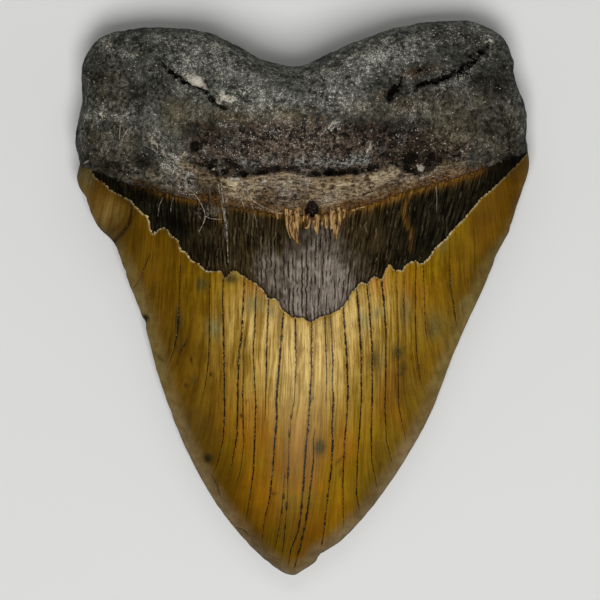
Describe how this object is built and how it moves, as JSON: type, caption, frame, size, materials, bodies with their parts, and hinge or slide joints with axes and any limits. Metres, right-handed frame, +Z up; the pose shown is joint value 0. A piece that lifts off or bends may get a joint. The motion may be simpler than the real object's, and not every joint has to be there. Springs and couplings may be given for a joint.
{
  "type": "megalodon tooth",
  "caption": "Large triangular fossil shark tooth with a heavy two-lobed root, a dark chevron band and a cracked enamel crown, lying flat.",
  "frame": {"origin": "centre of the tooth's outline, on the surface that it lies on", "axes": "+X across the tooth to the right as the tongue-side face is seen, +Y from the tip towards the root, +Z up out of the tongue-side face"},
  "size_m": [0.1186, 0.145, 0.029],
  "materials": {
    "tooth": "worn satin enamel in ochre, with dull porous charcoal root"
  },
  "bodies": {
    "root": {"tooth": "tooth"}
  },
  "joints": []
}
